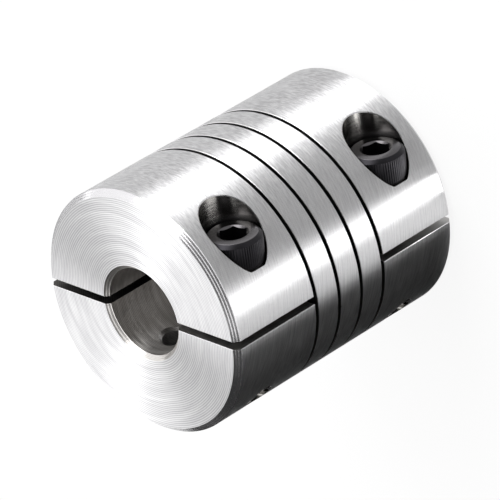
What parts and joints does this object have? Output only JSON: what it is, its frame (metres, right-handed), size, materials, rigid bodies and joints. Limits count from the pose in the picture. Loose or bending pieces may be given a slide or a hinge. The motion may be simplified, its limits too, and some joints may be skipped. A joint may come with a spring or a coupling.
{
  "type": "helical beam coupling",
  "caption": "Round helical beam coupling with a spiral flexure cut into its middle and a slit clamping hub with a sunk cap screw at each end.",
  "frame": {"origin": "centre of the rear end face, on which the coupling stands", "axes": "+Z along the shaft axis towards the front end face; the saw cuts lie in the X-Z plane with both clamp screws on the +X side; +Y is the side that the screw heads are on"},
  "size_m": [0.025, 0.025, 0.03],
  "materials": {
    "machined_aluminium": "fine turned, bare",
    "black_oxide_steel": "black oxide, oiled"
  },
  "bodies": {
    "root": {"coupling_body": "machined_aluminium", "front_clamp_screw": "black_oxide_steel", "rear_clamp_screw": "black_oxide_steel"}
  },
  "joints": []
}
